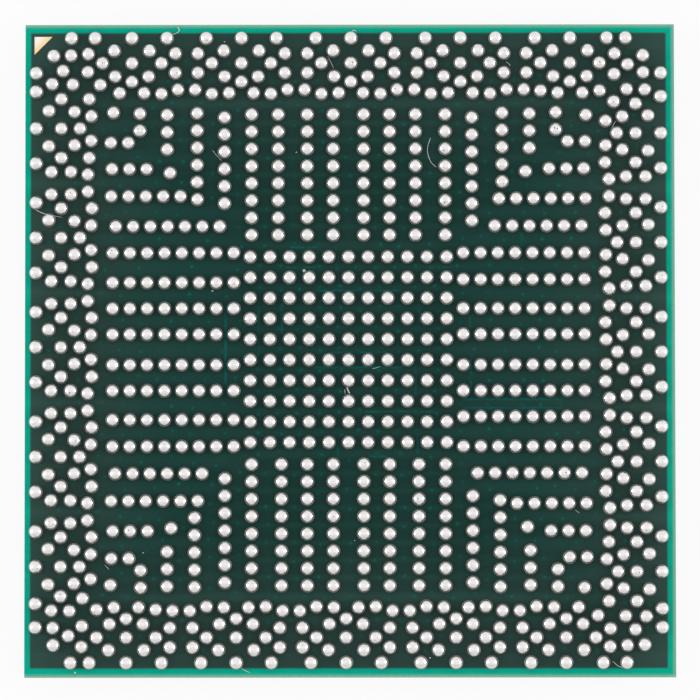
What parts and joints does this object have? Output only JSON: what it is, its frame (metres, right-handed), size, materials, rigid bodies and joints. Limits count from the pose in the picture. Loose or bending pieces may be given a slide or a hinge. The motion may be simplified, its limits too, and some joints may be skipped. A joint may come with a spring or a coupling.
{
  "type": "ball grid array package",
  "caption": "Square flip-chip ball grid array package with solder balls in stepped arms and an edge belt round a centre grid, and a bare die on the back.",
  "frame": {"origin": "middle of the substrate's outline, in the plane of the die's back face, on which the part lies", "axes": "+Z out of the ball side, +Y towards the edge whose left corner holds the pin one mark, +X to the right seen from the ball side"},
  "size_m": [0.0268, 0.027, 0.0025],
  "materials": {
    "laminate": "pale glass-epoxy board, sawn edges",
    "copper": "etched copper foil",
    "mask": "dark green solder mask, satin gloss",
    "plating": "thin gold plating",
    "silicon": "ground and polished silicon",
    "solder": "bright tin solder, as reflowed",
    "underfill": "dark cast epoxy, satin"
  },
  "bodies": {
    "root": {"laminate": "laminate", "ball_side_copper": "copper", "ball_side_mask": "mask", "ball_side_mark": "plating", "die_side_copper": "copper", "die_side_mask": "mask", "die_side_mark": "plating", "die": "silicon", "die_bumps": "solder", "underfill": "underfill", "centre_balls": "solder", "north_arm_balls": "solder", "east_arm_balls": "solder", "south_arm_balls": "solder", "west_arm_balls": "solder", "north_belt_balls": "solder", "east_belt_balls": "solder", "south_belt_balls": "solder", "west_belt_balls": "solder"}
  },
  "joints": []
}
